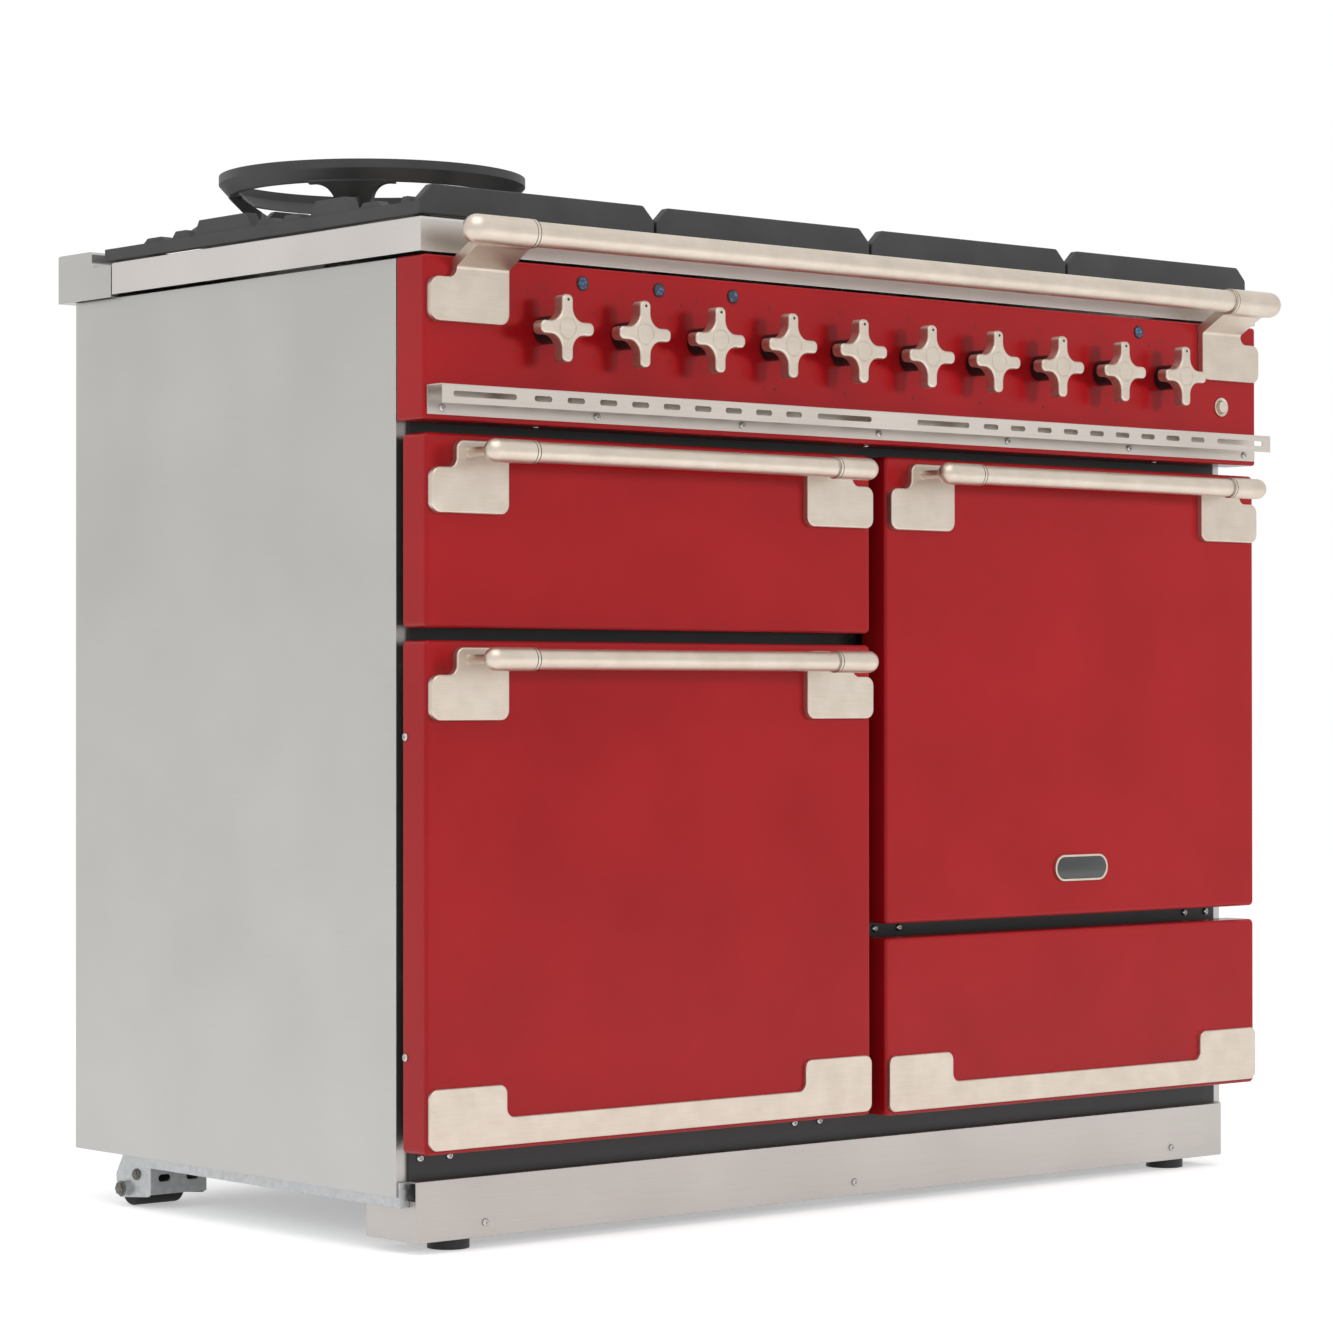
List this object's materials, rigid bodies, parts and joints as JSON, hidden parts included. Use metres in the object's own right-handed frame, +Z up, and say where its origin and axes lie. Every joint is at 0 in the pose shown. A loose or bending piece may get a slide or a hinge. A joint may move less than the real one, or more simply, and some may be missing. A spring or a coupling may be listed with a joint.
{
  "type": "freestanding gas range",
  "caption": "Wide freestanding gas range with red enamel fronts: two drop-down ovens, a glide-out grill, a storage drawer, cross knobs, a hob rail and cast-iron pan supports.",
  "frame": {"origin": "bottom centre of the whole range, on the floor under the middle of its width and depth", "axes": "+X to the right seen from the front, +Y towards the back, +Z up"},
  "size_m": [1.092, 0.644, 0.978],
  "materials": {
    "red_enamel": "gloss enamel",
    "stainless": "brushed",
    "nickel": "satin nickel plate",
    "black_enamel": "satin",
    "grey_enamel": "speckled gloss enamel",
    "cast_iron": "matt enamel",
    "galvanised": "galvanised",
    "chrome": "polished",
    "aluminium": "cast",
    "brass": "machined",
    "gasket": "woven glass-fibre and silicone seal",
    "black_rubber": "moulded",
    "blue_lens": "polished",
    "black_plastic": "moulded"
  },
  "bodies": {
    "cabinet": {"base_frame": "galvanised", "front_frame": "black_enamel", "side_panels": "stainless", "rear_cover": "galvanised", "plinth": "stainless", "front_feet": "black_plastic", "roller_brackets": "galvanised", "screws": "chrome", "oven_liners": "grey_enamel", "oven_seals": "gasket", "heating_elements": "chrome", "fan_motors": "galvanised", "oven_racks": "chrome", "grill_chamber": "grey_enamel", "slide_runners": "galvanised", "control_fascia": "red_enamel", "slotted_guard": "stainless", "indicator_lenses": "blue_lens", "ignition_bezel": "chrome", "gas_taps": "brass", "oven_switches": "black_plastic", "gas_rail": "galvanised", "hob_plate": "stainless", "rear_vent": "stainless", "hob_rail": "nickel", "burners": "aluminium"},
    "left_door": {"left_door_panel": "red_enamel", "left_door_liner": "black_enamel", "left_door_handle": "nickel", "left_door_trim": "nickel"},
    "right_door": {"right_door_panel": "red_enamel", "right_door_liner": "black_enamel", "right_door_handle": "nickel", "badge_plate": "nickel"},
    "grill": {"grill_panel": "red_enamel", "grill_handle": "nickel", "grill_carriage": "black_enamel", "grill_pan": "grey_enamel"},
    "storage_drawer": {"drawer_panel": "red_enamel", "drawer_trim": "nickel", "drawer_box": "black_enamel"},
    "rollers": {"rear_rollers": "black_rubber"},
    "left_fan": {"left_oven_fan": "aluminium"},
    "right_fan": {"right_oven_fan": "aluminium"},
    "ignition": {"ignition_button": "black_plastic"},
    "wok_stand": {"wok_ring": "cast_iron"},
    "grill_knob_turn": {"grill_knob": "nickel"},
    "left_function_knob_turn": {"left_function_knob": "nickel"},
    "left_oven_knob_turn": {"left_oven_knob": "nickel"},
    "burner_knob_1_turn": {"burner_knob_1": "nickel"},
    "burner_knob_2_turn": {"burner_knob_2": "nickel"},
    "burner_knob_3_turn": {"burner_knob_3": "nickel"},
    "burner_knob_4_turn": {"burner_knob_4": "nickel"},
    "burner_knob_5_turn": {"burner_knob_5": "nickel"},
    "burner_knob_6_turn": {"burner_knob_6": "nickel"},
    "right_oven_knob_turn": {"right_oven_knob": "nickel"},
    "support_1": {"pan_support_1": "cast_iron"},
    "support_2": {"pan_support_2": "cast_iron"},
    "support_3": {"pan_support_3": "cast_iron"},
    "support_4": {"pan_support_4": "cast_iron"}
  },
  "joints": [
    {"name": "left_door_hinge", "type": "hinge", "parent": "cabinet", "child": "left_door", "pos_m": [-0.276, -0.248, 0.101], "axis": [1, 0, 0], "range_deg": [0, 90]},
    {"name": "right_door_hinge", "type": "hinge", "parent": "cabinet", "child": "right_door", "pos_m": [0.275, -0.248, 0.282], "axis": [1, 0, 0], "range_deg": [0, 90]},
    {"name": "grill_slide", "type": "slide", "parent": "cabinet", "child": "grill", "axis": [0, -1, 0], "range_m": [0, 0.28]},
    {"name": "storage_drawer_slide", "type": "slide", "parent": "cabinet", "child": "storage_drawer", "axis": [0, -1, 0], "range_m": [0, 0.34]},
    {"name": "grill_knob_turn", "type": "hinge", "parent": "cabinet", "child": "grill_knob_turn", "pos_m": [-0.41, -0.293, 0.8155], "axis": [0, 1, 0], "range_deg": [0, 270]},
    {"name": "left_function_knob_turn", "type": "hinge", "parent": "cabinet", "child": "left_function_knob_turn", "pos_m": [-0.32, -0.293, 0.8155], "axis": [0, 1, 0], "range_deg": [0, 300]},
    {"name": "left_oven_knob_turn", "type": "hinge", "parent": "cabinet", "child": "left_oven_knob_turn", "pos_m": [-0.23, -0.293, 0.8155], "axis": [0, 1, 0], "range_deg": [0, 270]},
    {"name": "burner_knob_1_turn", "type": "hinge", "parent": "cabinet", "child": "burner_knob_1_turn", "pos_m": [-0.14, -0.293, 0.8155], "axis": [0, -1, 0], "range_deg": [0, 210]},
    {"name": "burner_knob_2_turn", "type": "hinge", "parent": "cabinet", "child": "burner_knob_2_turn", "pos_m": [-0.05, -0.293, 0.8155], "axis": [0, -1, 0], "range_deg": [0, 210]},
    {"name": "burner_knob_3_turn", "type": "hinge", "parent": "cabinet", "child": "burner_knob_3_turn", "pos_m": [0.04, -0.293, 0.8155], "axis": [0, -1, 0], "range_deg": [0, 210]},
    {"name": "burner_knob_4_turn", "type": "hinge", "parent": "cabinet", "child": "burner_knob_4_turn", "pos_m": [0.13, -0.293, 0.8155], "axis": [0, -1, 0], "range_deg": [0, 210]},
    {"name": "burner_knob_5_turn", "type": "hinge", "parent": "cabinet", "child": "burner_knob_5_turn", "pos_m": [0.22, -0.293, 0.8155], "axis": [0, -1, 0], "range_deg": [0, 210]},
    {"name": "burner_knob_6_turn", "type": "hinge", "parent": "cabinet", "child": "burner_knob_6_turn", "pos_m": [0.31, -0.293, 0.8155], "axis": [0, -1, 0], "range_deg": [0, 210]},
    {"name": "right_oven_knob_turn", "type": "hinge", "parent": "cabinet", "child": "right_oven_knob_turn", "pos_m": [0.4, -0.293, 0.8155], "axis": [0, 1, 0], "range_deg": [0, 270]},
    {"name": "ignition_press", "type": "slide", "parent": "cabinet", "child": "ignition", "axis": [0, 1, 0], "range_m": [0, 0.003], "stiffness_N_per_m": 400},
    {"name": "left_fan_spin", "type": "hinge", "parent": "cabinet", "child": "left_fan", "pos_m": [-0.276, 0.172, 0.295], "axis": [0, 1, 0], "continuous": true},
    {"name": "right_fan_spin", "type": "hinge", "parent": "cabinet", "child": "right_fan", "pos_m": [0.275, 0.172, 0.476], "axis": [0, 1, 0], "continuous": true},
    {"name": "rear_rollers_turn", "type": "hinge", "parent": "cabinet", "child": "rollers", "pos_m": [0, 0.228, 0.017], "axis": [1, 0, 0], "continuous": true},
    {"name": "support_1_lift", "type": "slide", "parent": "cabinet", "child": "support_1", "axis": [0, 0, 1], "range_m": [0, 0.1]},
    {"name": "support_2_lift", "type": "slide", "parent": "cabinet", "child": "support_2", "axis": [0, 0, 1], "range_m": [0, 0.018]},
    {"name": "support_3_lift", "type": "slide", "parent": "cabinet", "child": "support_3", "axis": [0, 0, 1], "range_m": [0, 0.1]},
    {"name": "support_4_lift", "type": "slide", "parent": "cabinet", "child": "support_4", "axis": [0, 0, 1], "range_m": [0, 0.1]},
    {"name": "wok_ring_lift", "type": "slide", "parent": "support_1", "child": "wok_stand", "axis": [0, 0, 1], "range_m": [0, 0.1]}
  ]
}
